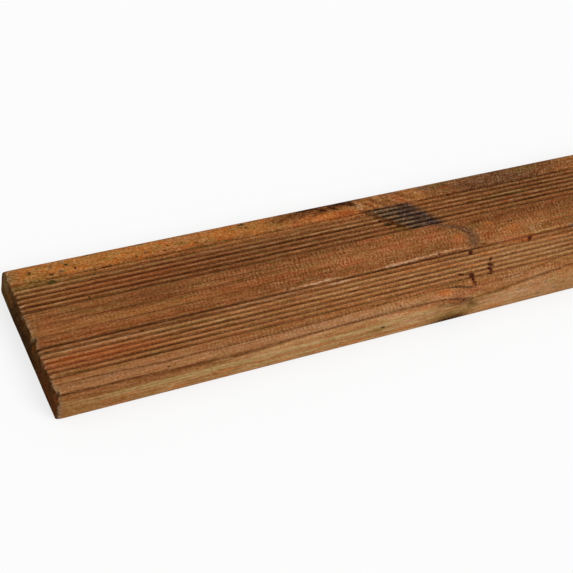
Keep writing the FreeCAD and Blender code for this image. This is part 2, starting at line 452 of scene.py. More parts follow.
def wear_offset(add, inputs, place, spread):
    """How far each point is worn or torn inwards from the planed and sawn shape."""
    seed = inputs["Seed"]
    x, y, z = add(SEPARATE, place).outputs
    from_end = add(PLUS, x, add(OVER, inputs["Length"], 2))
    near_top = add(RAMP, z, WEAR_FROM, WEAR_FULL)
    on_rim = add(RAMP, spread, RIM_START, 1)
    closeness = add(SMOOTH_RAMP, from_end, 0, inputs["Torn length"], 1, 0)
    torn = fold(add, TIMES, near_top, on_rim, add(POWER, closeness, 2))
    pull = fold(add, TIMES, torn, wear_noise(add, place, TORN_CELL, seed), inputs["Torn pull"])
    sunk = wear_noise(add, place, SUNK_CELL, add(PLUS, seed, 5))
    sink = fold(add, TIMES, torn, sunk, inputs["Torn depth"])
    for middle, width, depth, reach in END_CHIPS:
        away = add(VECTOR_MINUS, place, (-BOARD_LENGTH / 2, BOARD_LOW.y + middle * MM, BOARD_TOP))
        scaled = add(VECTOR_TIMES, away, (1 / (reach * MM), 2 / (width * MM), 1 / CHIP_HEIGHT))
        dent = add(SMOOTH_RAMP, add(VECTOR_LENGTH, scaled), 0.2, 1, depth * MM, 0)
        sink = add(PLUS, sink, dent)
        pull = add(PLUS, pull, add(TIMES, dent, CHIP_PULL))

    # The ridges are worn unevenly, and the shown end is fuzzy with torn fibres
    worn = fold(add, TIMES, wear_noise(add, place, RIDGE_CELL, seed), inputs["Ridge wear"], near_top)
    at_end = add(ABOVE, closeness, 0.999)
    fuzz = fold(add, TIMES, wear_noise(add, place, SAWN_CELL, seed), inputs["Saw roughness"], at_end)
    lowered = add(TIMES, add(PLUS, sink, worn), -1)
    torn_away = add(COMBINE, add(PLUS, pull, fuzz), 0, lowered)

    # The edge round the shown end is rubbed away inwards, most at the front and least at the underside
    inwards = add(VECTOR_MINUS, inner_place(add, place), place)
    rub = add(POWER, add(RAMP, from_end, 0, inputs["Eased length"], 1, 0), 2)
    uneven = add(RAMP, wear_noise(add, place, RUBBED_CELL, seed), 0, 1, 0.5, 1.3)
    frontness = add(RAMP, y, BOARD_LOW.y + 20 * MM, BOARD_LOW.y + 80 * MM, 1, 0.3)
    highness = add(RAMP, z, 0, BOARD_TOP / 2, 0.3, 1)
    rub = fold(add, TIMES, rub, inputs["Eased edge"], uneven, frontness, highness)
    rubbed = add(VECTOR_SCALED, inwards, add(OVER, rub, EDGE_INSET))

    # The lower front corner of the shown end is knocked off
    away = add(VECTOR_MINUS, place, (-BOARD_LENGTH / 2, BOARD_LOW.y, 0))
    knock = add(RAMP, add(VECTOR_LENGTH, away), 0, KNOCKED_REACH, 1, 0)
    knock = add(TIMES, add(POWER, knock, 1.5), KNOCKED_DEPTH)
    return fold(add, VECTOR_PLUS, torn_away, rubbed, add(VECTOR_SCALED, KNOCKED_WAY, knock))


def board_tree():
    """Geometry Nodes that carry the section along the board, close its ends and wear it."""
    tree = bpy.data.node_groups.new("swept_board", "GeometryNodeTree")
    for name, kind in SWEEP_INPUTS.items():
        tree.interface.new_socket(name, in_out="INPUT", socket_type="NodeSocket" + kind)
    tree.interface.new_socket("Board", in_out="OUTPUT", socket_type="NodeSocketGeometry")
    add = partial(add_node, tree)
    inputs = add("NodeGroupInput").outputs
    section = add("GeometryNodeObjectInfo", inputs["Section"]).outputs["Geometry"]
    board, place, share, spread, on_end = sweep_place(add, inputs, section)
    for name, kind, value in (
            (GROOVE_SHARE, "FLOAT", share), (SAWN_END, "BOOLEAN", on_end), (SPREAD, "FLOAT", spread)):
        board = add(STORE_ATTRIBUTE, board, None, name, value, data_type=kind, domain="POINT")
    board = add(SET_POSITION, board, None, place)
    here = add("GeometryNodeInputPosition")
    offset = wear_offset(add, inputs, here, add(NAMED_ATTRIBUTE, SPREAD, data_type="FLOAT"))
    board = add(SET_POSITION, board, named={"Offset": offset})
    board = add("GeometryNodeMergeByDistance", board, named={"Distance": MERGE_DISTANCE})
    board = add("GeometryNodeRemoveAttribute", board, named={"Name": SPREAD})
    board = add(SHADE_SMOOTH, board, None, True, domain="FACE")
    sharp = add(ABOVE, add("GeometryNodeInputMeshEdgeAngle"), SHARP_ANGLE)
    board = add(SHADE_SMOOTH, board, sharp, False, domain="EDGE")
    board = add("GeometryNodeRealizeInstances", board)
    board = add(SET_MATERIAL, board, None, inputs["Face material"])
    sawn = add(NAMED_ATTRIBUTE, SAWN_END, data_type="BOOLEAN")
    board = add(SET_MATERIAL, board, sawn, inputs["End material"])
    add("NodeGroupOutput", board)
    return tree


def plain_mesh_from(name, tree, values):
    """Runs a Geometry Nodes tree on an empty object and keeps the result as a plain mesh object."""
    carrier = bpy.data.objects.new(name + "_carrier", bpy.data.meshes.new(name + "_carrier"))
    bpy.context.collection.objects.link(carrier)
    modifier = carrier.modifiers.new("nodes", "NODES")
    modifier.node_group = tree
    for item in tree.interface.items_tree:
        if item.in_out == "INPUT":
            modifier[item.identifier] = values[item.name]
    bpy.context.view_layer.update()
    graph = bpy.context.evaluated_depsgraph_get()
    mesh = bpy.data.meshes.new_from_object(carrier.evaluated_get(graph), depsgraph=graph)
    mesh.name = name
    while mesh.materials and mesh.materials[0] is None:
        mesh.materials.pop(index=0)
    carrier.modifiers.clear()
    bpy.data.objects.remove(carrier)
    piece = bpy.data.objects.new(name, mesh)
    bpy.context.collection.objects.link(piece)
    return piece


# Patterns in the wood. Every place is in millimetres: X from the shown end, Y from the front, Z from below

def board_place(add):
    """The surface point in millimetres from the shown end, the front side and the underside."""
    coordinates = add("ShaderNodeTexCoord").outputs["Object"]
    return add(MAPPING, coordinates, tuple(-side / MM for side in BOARD_LOW), None, (1 / MM,) * 3)


def grain_noise(add, place, cell, detail=2, roughness=0.55, start=(0, 0, 0), turn=0):
    """Noise whose cells have the given length, width and depth in millimetres, turned in the face."""
    turned = add(MAPPING, place, start, (0, 0, math.radians(-turn)), None)
    stretched = add(MAPPING, turned, None, None, tuple(1 / size for size in cell))
    return add(NOISE, stretched, 1, detail, roughness)


def grain_share(add, place, cell, span, *pattern):
    """Grain noise, with its values between the span's first two turned into those from third to fourth."""
    return add(RAMP, grain_noise(add, place, cell, *pattern), *span)


def smooth_line(add, travelled, points, travel_reach, offset_reach):
    """A smooth curve through (travelled, offset) points in millimetres, read at each surface point."""
    share = add(OVER, travelled, travel_reach, use_clamp=True)
    curve = add("ShaderNodeFloatCurve", 1, share)
    knots = curve.mapping.curves[0].points
    while len(knots) < len(points):
        knots.new(0.5, 0.5)
    for knot, (travel, offset) in zip(knots, points):
        knot.location = (travel / travel_reach, offset / offset_reach)
    curve.mapping.update()
    return add(TIMES, curve, offset_reach)


def nearness(add, value, middle, half_width, strength):
    """Falls smoothly from strength, where the value meets the middle, to nothing at 1.7 half widths."""
    away = add(UNSIGNED, add(MINUS, value, middle))
    return add(SMOOTH_RAMP, away, 0.3 * half_width, 1.7 * half_width, strength, 0)


def half_plane(add, place, point, normal):
    """Signed distance in millimetres past a line across the face, measured along its normal."""
    away = add(VECTOR_MINUS, place, (*point, 0))
    reach = math.hypot(*normal)
    return add(VECTOR_MATH, away, (normal[0] / reach, normal[1] / reach, 0), operation="DOT_PRODUCT")


def on_face(x, y, half_length, half_width, turn=0):
    """A mark on the walking face: its middle, half sizes in millimetres and turn in degrees."""
    return (x, y, TOP_MM), (half_length, half_width, 5), (0, 0, math.radians(turn))


def on_side(x, z, half_length, half_height, turn=0):
    """A mark on the front side."""
    return (x, 0, z), (half_length, 4, half_height), (0, math.radians(-turn), 0)


def on_end(y, z, half_width, half_height, turn=0):
    """A mark on the shown end."""
    return (0, y, z), (6, half_width, half_height), (math.radians(turn), 0, 0)


def marks_mask(add, place, face, marks, strength, edge):
    """Where any of some oval marks on a face lies.

    The edge is the share of the half size over which a mark fades, inwards and outwards alike.
    """
    strongest = None
    for mark in marks:
        middle, half_sizes, turn = face(*mark)
        outer = tuple(half * (1 + edge) for half in half_sizes)
        oval = add(MAPPING, place, middle, turn, outer, vector_type="TEXTURE")
        depth = add("ShaderNodeTexGradient", oval, gradient_type="SPHERICAL").outputs["Fac"]
        strongest = depth if strongest is None else add(LARGEST, strongest, depth)
    return add(SMOOTH_RAMP, strongest, 0, 2 * edge / (1 + edge), 0, strength)


def stained(add, place, wood, groups, colours):
    """The wood with each group of marks laid over it."""
    for colour_name, strength, edge, face, marks in groups:
        mask = marks_mask(add, place, face, marks, strength, edge)
        wood = add(BLEND, mask, wood, getattr(colours, colour_name))
    return wood


def shaken(add, place, cell, reach):
    """The place moved about by noise, so that drawn shapes get ragged edges."""
    stretched = add(MAPPING, place, None, None, tuple(1 / size for size in cell))
    noise = add(NOISE, stretched, 1, 2, 0.6).outputs["Color"]
    centred = add(VECTOR_MINUS, noise, (0.5, 0.5, 0.5))
    return add(VECTOR_PLUS, place, add(VECTOR_TIMES, centred, tuple(2 * side for side in reach)))


def new_material(name):
    """An empty node material, and the function that adds its nodes."""
    material = bpy.data.materials.new(name)
    material.use_nodes = True
    material.node_tree.nodes.clear()
    return material, partial(add_node, material.node_tree)


# How pale the planed face is from its front side to its back, as Y and a share
PALE_ACROSS = (
    (0, 0.74), (12, 0.66), (22, 0.52), (45, 0.44), (57, 0.26), (63, 0.20), (71, 0.28), (78, 0.21),
    (92, 0.20), (112, 0.14), (123, 0.36), (131, 0.77), (145, 0.83))

# How much paler the face gets along the board, as X and a share
PALE_ALONG = (
    (0, 0.50), (60, 0.50), (150, 0.50), (250, 0.58), (340, 0.70), (420, 0.72), (520, 0.68), (620, 0.56))

# Curves along the board end here, a little past the photographed stretch
ALONG_REACH = 620

# How much painted shade darkens each groove's bottom, from the front of its band to the back
FRONT_GROOVE_SHADE = (0.66, 0.72, 0.66, 0.68, 0.54, 0.58, 0.96)
BACK_GROOVE_SHADE = (0.76, 1, 0.66, 1, 0.70, 0.38, 0.46)
BAND_HALF_WIDTH = 11.5

# How much painted shade darkens the grooves along the board, as X and a share
GROOVE_SHADE_ALONG = ((0, 1), (170, 1), (260, 0.84), (340, 0.88), (420, 0.86), (520, 0.8), (620, 0.9))

# Growth lines on the face, front ones last: Y along the board, half width, strength near the end and far.
# They change from near to far between these places along the board
NEAR_UNTIL = 200
FAR_FROM = 300
GROWTH_LINES = (
    (((0, 84.3), (130, 85.7), (225, 83.6), (300, 82), (400, 78), (620, 79)), 0.9, 0.46, 0.12),
    (((0, 77), (150, 77.6), (225, 79.5), (320, 79), (620, 74)), 0.8, 0.48, 0.16),
    (((0, 65.2), (150, 66.5), (225, 68), (300, 70.8), (370, 75), (420, 70), (620, 68)),
     0.9, 0.44, 0.14),
    (((0, 59.5), (225, 59), (300, 62), (370, 67), (430, 62), (620, 60)), 0.8, 0.26, 0.1),
    (((0, 15.1), (30, 15.1), (80, 13.1), (150, 13.1), (200, 13.8), (280, 15.8), (350, 17.5), (374, 17),
      (389, 15), (398, 12.6), (437, 12.6), (480, 17), (514, 21.5), (620, 22)), 0.9, 0.54, 0.4),
    (((0, 4.7), (80, 3.6), (150, 2.3), (220, 3.9), (280, 5.2), (360, 4.9), (379, 2.7), (389, 0.6),
      (440, 3.7), (480, 7), (514, 10.2), (620, 13)), 1.3, 0.72, 0.55),
)

# The knot lies between its left and right edges, each a point and a normal
KNOT_LEFT = ((349.6, 124.8), (31.8, 32.7))
KNOT_RIGHT = ((396.8, 124.8), (30.8, 20.7))
KNOT_FRONT = 93
KNOT_BACK = 127

# The dark tail of bent fibres that leaves the knot: Y and X
TAIL = (
    (0, 428), (54, 430), (62, 433), (70, 435.5), (76, 434.5), (81, 429.5), (86, 420), (92, 406),
    (98, 392), (145, 380))

# Where the grain bends round the knot: the fibres' turn, how strongly, and the oval that holds them
BENT_GRAIN = (
    (-43, 0.8, (376, 134, 32, 8)),
    (-20, 0.55, (390, 8, 24, 8, -12)),
    (-58, 0.5, (424, 76, 13, 15, 20)),
)

# The pith, round which the growth rings lie, is far below the board's front side
PITH = (0, -60, -90)

# The cutter's knives leave a ripple at each turn of the cutter block, and it leans along the board
RIPPLE_PITCH = 3.9
RIPPLE_LEAN = -0.2

# How strong the ripples are from the front side to the back, as Y and a share. The ridges show few
RIPPLES_ACROSS = (
    (0, 0), (4, 0.1), (8, 0.75), (18, 0.75), (23, 0.2), (54, 0.2), (60, 1), (88, 1), (95, 0.25),
    (124, 0.25), (130, 0.4), (145, 0.2))

# The cross-cut saw's teeth leave slanting marks on the ends, drawn coarser than the real 1 mm to show
SAW_PITCH = 1.8
SAW_SLANT = 24

# How much painted shade the ripples and the saw marks put into the colour's exponent
RIPPLE_SHADE = 0.19
SAW_SHADE = 0.04

# Heights of the relief in millimetres
MOTTLE_HEIGHT = 0.03
FIBRE_HEIGHT = 0.05
RIPPLE_HEIGHT = 0.03
FUR_HEIGHT = 0.5
SAW_HEIGHT = 0.06


def ground_colour(add, place, colours):
    """Brown and pale wood with slow streaks and red and olive stains."""
    x, y, z = add(SEPARATE, place).outputs
    across = smooth_line(add, y, PALE_ACROSS, WIDTH_MM, 1)
    along = smooth_line(add, x, PALE_ALONG, ALONG_REACH, 1)
    broad = grain_share(add, place, (150, 11, 11), (0.3, 0.7, -0.74, -0.26), 2, 0.5)
    streak = grain_share(add, place, (70, 2.2, 2.2), (0.25, 0.75, -0.38, 0.38), 3, 0.6, (3, 5, 1))
    pale = add(PLUS, fold(add, PLUS, across, along, broad), streak, use_clamp=True)
    wood = add(BLEND, pale, colours.brown_wood, colours.early_wood)

    # The sides are sapwood, yellower than the walking face and streaked along the board
    away = add(UNSIGNED, add(MINUS, y, WIDTH_MM / 2))
    at_side = add(RAMP, away, WIDTH_MM / 2 - 3, WIDTH_MM / 2 - 0.4, 0, 0.85)
    streak = grain_share(add, place, (80, 40, 2.6), (0.36, 0.62, 0, 1), 3, 0.7, (5, 1, 2))
    streak = add(PLUS, streak, add(RAMP, x, 0, 190, -0.66, 0.04), use_clamp=True)
    side = add(BLEND, streak, colours.side_brown, colours.side_gold)
    wood = add(BLEND, at_side, wood, side)

    red = grain_share(add, place, (17, 3, 3), (0.5, 0.7, 0, 0.4), 2, 0.6, (9, 2, 4))
    wood = add(BLEND, red, wood, colours.red_tint)
    rosy = grain_share(add, place, (13, 5, 5), (0.5, 0.68, 0, 0.6), 3, 0.65, (3, 9, 2))
    wood = add(BLEND, add(TIMES, rosy, add(RAMP, x, 40, 300, 0.4, 1)), wood, colours.rosy)
    olive = grain_share(add, place, (22, 2.6, 2.6), (0.48, 0.68, 0, 0.45), 2, 0.6, (1, 8, 2))
    wood = add(BLEND, olive, wood, colours.olive_tint)

    # The back margin is mottled orange and olive as far as the knot's bent grain
    in_margin = add(TIMES, add(RAMP, y, 120, 125), add(RAMP, x, 235, 275, 1, 0.4))
    orange = grain_share(add, place, (12, 4.6, 4.6), (0.5, 0.64, 0, 0.78), 2, 0.6, (2, 6, 8))
    wood = add(BLEND, add(TIMES, orange, in_margin), wood, colours.orange)
    green = grain_share(add, place, (15, 3.6, 3.6), (0.5, 0.64, 0, 0.8), 2, 0.6, (7, 1, 5))
    wood = add(BLEND, add(TIMES, green, in_margin), wood, colours.olive_tint)

    # Away from the photographed stretch, rings cross the sides, the underside and the rest of the board
    arm = add(VECTOR_TIMES, add(VECTOR_MINUS, place, PITH), (0, 1, 1))
    ring_place = add(COMBINE, x, add(VECTOR_LENGTH, arm), 0)
    bands = grain_noise(add, ring_place, (420, 6.5, 1), 2, 0.4, (0, 3, 7))
    ring_line = nearness(add, bands, 0.5, 0.012, 0.4)
    elsewhere = add(RAMP, x, 520, 640)
    below = add(RAMP, z, TOP_MM - 3, TOP_MM - 6, 0, 0.5)
    ring_line = add(TIMES, ring_line, add(LARGEST, elsewhere, below))
    return add(BLEND, ring_line, wood, colours.late_wood)


def growth_lines(add, place, wood, colours):
    """The dark late wood that the planed face cuts through in a few long lines."""
    x, y, z = add(SEPARATE, place).outputs
    wobble = grain_share(add, place, (48, 30, 30), (0.3, 0.7, -0.5, 0.5), 3, 0.6, (4, 4, 4))
    wavy = add(PLUS, y, wobble)
    on_top = add(RAMP, z, TOP_MM - 4, TOP_MM - 1.5)
    broken = grain_share(add, place, (30, 5, 5), (0.3, 0.6, 0.8, 1.15), 2, 0.5)
    shown = add(TIMES, on_top, broken)
    for points, half_width, near, far in GROWTH_LINES:
        middle = smooth_line(add, x, points, ALONG_REACH, WIDTH_MM)
        strength = add(TIMES, add(RAMP, x, NEAR_UNTIL, FAR_FROM, near, far), shown)
        line = add(TIMES, nearness(add, wavy, middle, half_width, 1), strength)
        wood = add(BLEND, line, wood, colours.late_wood)
    return wood


def bent_grain(add, place, wood, colours):
    """The grain that bends round the knot, in slanting red-brown and golden lobes."""
    for turn, strength, oval in BENT_GRAIN:
        share = grain_share(add, place, (26, 4.6, 26), (0.4, 0.6, 0, 1), 1, 0.5, (3, 1, 0), turn)
        lobe = add(BLEND, share, colours.bent_brown, colours.bent_gold)
        mask = marks_mask(add, place, on_face, [oval], strength, 0.35)
        wood = add(BLEND, mask, wood, lobe)
    return wood


def groove_shade_and_ridges(add, place, wood, colours, sizes):
    """Painted shade in the groove bottoms, and paler ridges. Also gives each point's share of a groove's
    depth.
    """
    x, y, _ = add(SEPARATE, place).outputs
    share = add("ShaderNodeAttribute", attribute_name=GROOVE_SHARE).outputs["Fac"]
    pitch = sizes.groove_pitch / MM
    front = sizes.front_margin / MM
    back = (BOARD_WIDTH - sizes.back_margin) / MM - pitch * (len(BACK_GROOVE_SHADE) - 1)
    bands = ((front, FRONT_GROOVE_SHADE), (back, BACK_GROOVE_SHADE))
    points = [(start + pitch * number, dark) for start, band in bands for number, dark in enumerate(band)]
    points = [(0, FRONT_GROOVE_SHADE[0]), *points, (WIDTH_MM, BACK_GROOVE_SHADE[-1])]
    dark = smooth_line(add, y, points, WIDTH_MM, 1)
    patchy = grain_share(add, place, (60, 3.5, 40), (0.3, 0.6, 0.62, 1.02), 2, 0.6, (2, 7, 3))
    dashed = grain_share(add, place, (6.5, 4, 40), (0.35, 0.62, 0.86, 1.08), 2, 0.6, (4, 7, 3))
    dark = fold(add, TIMES, dark, patchy, dashed)

    # Ridges are paler in the middle of each band, unevenly along the board, and some redder or yellower
    ridge = add(RAMP, share, 0.05, 0.45, 0.55, 0)
    in_front = nearness(add, y, front + 3 * pitch, BAND_HALF_WIDTH, 1)
    in_back = nearness(add, y, back + 3 * pitch, BAND_HALF_WIDTH, 0.68)
    in_band = add(LARGEST, in_front, in_back)
    uneven = grain_share(add, place, (26, 4.2, 40), (0.35, 0.62, 0.35, 1.1), 2, 0.6, (8, 1, 3))
    ridge = fold(add, TIMES, ridge, in_band, uneven)
    tint = grain_share(add, place, (34, 4.8, 40), (0.5, 0.68, 0, 0.8), 2, 0.6, (1, 4, 3))
    yellow = grain_share(add, place, (44, 4.8, 40), (0.5, 0.66, 0, 0.8), 2, 0.6, (6, 2, 3))
    ridge_wood = add(BLEND, tint, colours.ridge, colours.ridge_red)
    ridge_wood = add(BLEND, yellow, ridge_wood, colours.straw)
    wood = add(BLEND, ridge, wood, ridge_wood)

    # Painted shade: the grooves darken towards their bottoms by depth, unevenly from groove to groove and
    # along the board
    groove = add(TIMES, add(SMOOTH_RAMP, share, 0.2, 0.9), dark, use_clamp=True)
    along = smooth_line(add, x, GROOVE_SHADE_ALONG, ALONG_REACH, 1.2)
    groove = add(TIMES, groove, along, use_clamp=True)
    return add(BLEND, groove, wood, colours.groove), share


def knot_colour(add, place, wood, share, colours):
    """The knot: tan and olive on its left, blue-black on its right, with a dark tail of bent fibres."""
    x, y, _ = add(SEPARATE, place).outputs
    past_left = half_plane(add, place, *KNOT_LEFT)
    past_right = half_plane(add, place, *KNOT_RIGHT)
    inside = add(RAMP, past_left, -0.8, 1.6)
    inside = add(TIMES, inside, add(RAMP, past_right, 4, -5))
    inside = add(TIMES, inside, add(RAMP, y, KNOT_BACK + 1, KNOT_BACK - 1))
    inside = add(TIMES, inside, add(RAMP, y, KNOT_FRONT - 2, KNOT_FRONT + 1))
    blue = add(RAMP, past_right, -30, -11, 0.05, 1)
    blotch = grain_share(add, place, (6, 2.6, 9), (0.35, 0.65, -0.45, 0.45), 3, 0.6)
    blue = add(PLUS, blue, blotch, use_clamp=True)
    ridge = add(BLEND, blue, colours.knot_tan, colours.knot_slate)
    # Painted shade: the knot's grooves darken nearly to black by their depth
    bottom = add(RAMP, share, 0.14, 0.68, 0, 0.96)
    knot = add(BLEND, bottom, ridge, colours.knot_black_and_groove_shade)
    spotty = grain_share(add, place, (5, 3, 9), (0.5, 0.7, 0.9, 0.45), 2, 0.6, (7, 0, 2))
    wood = add(BLEND, add(TIMES, inside, spotty), wood, knot)
    behind_front = add(RAMP, y, KNOT_FRONT - 2, KNOT_FRONT + 8)
    before_back = add(RAMP, y, KNOT_BACK + 5, KNOT_BACK - 2)
    rim = nearness(add, past_left, -2, 2.2, 0.62)
    rim = add(TIMES, rim, add(TIMES, behind_front, before_back))
    wood = add(BLEND, rim, wood, colours.speck_and_chip_shade)

    middle = smooth_line(add, y, TAIL, WIDTH_MM, ALONG_REACH)
    in_tail = add(TIMES, add(RAMP, y, 53, 58), add(RAMP, y, 100, 93))
    tail = add(TIMES, nearness(add, x, middle, 5.6, 0.68), in_tail)
    return add(BLEND, tail, wood, colours.tail)


def ripples(add, place, share):
    """Bars across the board that the knives leave, from -1 to 1, broken up by the fibres."""
    x, y, z = add(SEPARATE, place).outputs
    drift = grain_share(add, place, (13, 5, 4), (0, 1, -5, 5), 2, 0.6, (6, 1, 0))
    leaning = add(MATH, y, RIPPLE_LEAN, x, operation="MULTIPLY_ADD")
    bars = add(SINE, add(TIMES, add(PLUS, leaning, drift), math.tau / RIPPLE_PITCH))
    patches = grain_share(add, place, (22, 5.6, 5.6), (0.4, 0.6, 0.1, 1), 2, 0.5, (2, 2, 5))
    bars = add(TIMES, bars, patches)
    bars = add(TIMES, bars, add(RAMP, z, TOP_MM - 3, TOP_MM - 1.8))
    along = add(RAMP, x, 90, 230, 0.42, 1)
    across = smooth_line(add, y, RIPPLES_ACROSS, WIDTH_MM, 1)
    bars = add(TIMES, bars, add(TIMES, along, across))
    return add(TIMES, bars, add(RAMP, share, 0.05, 0.5, 1, 0.2))


def worn_end(add, place, wood, share, colours):
    """The last few millimetres before the shown end: greyer, paler ridges and a dark broken edge."""
    x = add(SEPARATE, place).outputs["X"]
    ragged = grain_share(add, place, (12, 2, 2), (0.3, 0.7, -1.6, 2), 2, 0.6, (5, 5, 0))
    inwards = add(PLUS, x, ragged)
    grey = add(RAMP, inwards, 1.5, 6, 0.42, 0)
    grey = add(TIMES, grey, add(RAMP, share, 0.1, 0.5, 1, 0.1))
    wood = add(BLEND, grey, wood, colours.worn_grey)
    edge = add(RAMP, inwards, 0.4, 2.2, 0.85, 0)
    return add(BLEND, edge, wood, colours.end_brown)


# Broad stains, in the order they lie on each other: colour, strength, softness, face and its marks
STAINS = (
    ("gold", 0.4, 0.7, on_face, [(70, 134, 90, 9), (220, 134, 40, 6)]),
    ("gold", 0.2, 0.8, on_face, [(70, 70, 80, 3)]),
    ("olive_tint", 0.3, 0.8, on_face, [(28, 112, 46, 12), (120, 44, 40, 5)]),
    ("late_wood", 0.25, 0.8, on_face, [(3, 134, 11, 13)]),
    ("brown_wood", 0.7, 0.7, on_side, [(60, 26.4, 90, 3.6), (2, 13, 4, 15)]),
    ("ridge", 0.38, 0.8, on_side, [(510, 16, 76, 15)]),
    ("tail", 0.12, 0.8, on_side, [(505, 14, 90, 18)]),
    ("straw", 0.34, 0.8, on_face, [
        (85, 117.6, 80, 0.9), (70, 112.6, 70, 0.7), (60, 107.4, 50, 0.6), (60, 102.2, 70, 0.7)]),
    ("straw", 0.62, 0.8, on_face, [
        (165, 41.4, 28, 1), (262, 41.2, 24, 1), (310, 113, 50, 0.8), (330, 46.6, 50, 0.9),
        (310, 36.2, 40, 0.9), (345, 31, 50, 0.8), (470, 36.2, 60, 1.1), (480, 41.4, 60, 1.1),
        (465, 31, 50, 1.1), (490, 25.8, 60, 1), (450, 46.6, 30, 1), (510, 57.4, 30, 0.9)]),
    ("early_wood", 0.42, 0.8, on_face, [
        (310, 34, 90, 14), (330, 74, 70, 9), (455, 36, 70, 12), (470, 62, 40, 6)]),
    ("ridge", 0.46, 0.8, on_face, [(450, 38, 84, 15)]),
    ("red_tint", 0.36, 0.8, on_face, [
        (35, 37, 55, 8), (80, 60, 70, 2.6), (215, 71, 60, 4), (150, 128, 60, 2.5), (90, 107, 60, 5)]),
    ("orange", 0.5, 0.7, on_face, [(308, 130, 32, 4.5, -3), (30, 38, 40, 2.4)]),
    ("late_wood", 0.36, 0.8, on_face, [
        (170, 107, 150, 12), (310, 106, 50, 10), (500, 114, 90, 14), (500, 87, 70, 5)]),
    ("late_wood", 0.14, 0.8, on_face, [(120, 85, 26, 8)]),
    ("late_wood", 0.7, 0.7, on_face, [(300, 140, 46, 5, 3), (325, 141, 26, 3.5, 3)]),
    ("tail", 0.7, 0.7, on_face, [(500, 135, 74, 11), (438, 138, 18, 5)]),
    ("late_wood", 0.35, 0.8, on_face, [
        (110, 52, 110, 3), (250, 90, 70, 3), (480, 143, 34, 2.5), (548, 142, 24, 3), (474, 131, 9, 2.4)]),
    ("gold", 0.2, 0.7, on_face, [(404, 134, 14, 5, -20), (372, 13, 9, 3.5)]),
    ("rosy", 0.6, 0.8, on_face, [
        (388, 132, 11, 3.4, -40), (358, 132, 6, 2.4, -40), (372, 12, 10, 4), (400, 8, 18, 3, 12),
        (392, 78, 14, 4), (418, 68, 9, 4, 30), (330, 92, 10, 2), (300, 70, 14, 3), (352, 77, 16, 4)]),
    ("olive_tint", 0.5, 0.6, on_face, [
        (438, 140, 13, 2.4), (540, 138, 18, 3), (441, 131, 6, 2), (372, 97, 10, 4, -20), (20, 121, 22, 2),
        (500, 112, 30, 3)]),
    ("orange", 0.36, 0.7, on_face, [
        (373, 12, 8, 3.4), (49, 134.7, 5, 2.4), (206, 132, 12, 3), (62, 131, 9, 3), (118, 133, 14, 3),
        (351, 88.7, 5, 2), (420, 71, 5, 3.5), (459, 79, 6, 3), (480, 68, 10, 4, 10), (62, 36, 34, 1),
        (100, 31, 40, 1)]),
    ("orange", 0.6, 0.7, on_face, [
        (440, 46.5, 14, 1.6), (511, 47, 15, 1.6), (362, 47, 22, 1.3), (392, 41.4, 18, 1.2),
        (484, 51.8, 16, 1.3), (418, 36.2, 14, 1.1), (372, 12, 7, 3)]),
    ("red_tint", 0.55, 0.5, on_face, [
        (481, 52, 13, 2.2), (328, 128.5, 10, 3), (276, 128, 6, 1.8), (452, 66, 8, 3, 30), (440, 135, 8, 2),
        (395, 9, 8, 2.4, -20)]),
    ("pale_fibre", 0.72, 0.7, on_face, [
        (356, 57, 24, 1.1, 1), (394, 58, 22, 0.9, 1), (285, 51.5, 12, 1), (262, 56.4, 24, 0.7)]),
    ("pale_fibre", 0.12, 0.8, on_face, [(70, 11, 100, 7)]),
    ("pale_fibre", 0.26, 0.8, on_face, [
        (280, 8, 110, 6), (344, 134, 3.4, 8, 25), (446, 12, 18, 4, 12), (470, 7, 20, 5, 10),
        (500, 62, 5, 2, 60), (60, 46.5, 50, 1), (210, 51.6, 40, 1)]),
    ("speck_and_chip_shade", 0.8, 0.6, on_face, [
        (327, 141.5, 13, 2.6, 4), (294, 142, 14, 1.6), (336, 138, 7, 2, -25), (306, 138, 7, 1.2, -30),
        (318, 138, 6, 1.2, -30)]),
    ("tail", 0.7, 0.5, on_face, [
        (386, 1.2, 13, 1.6, -10), (393, 13.4, 9, 1, -17), (384, 16.6, 9, 0.9, -8)]),
    ("blue_grey_and_glint", 0.4, 0.6, on_face, [(418, 139.5, 7, 2.4, -20), (383, 142, 5, 1.8), (50, 12.8, 8, 0.7)]),
)

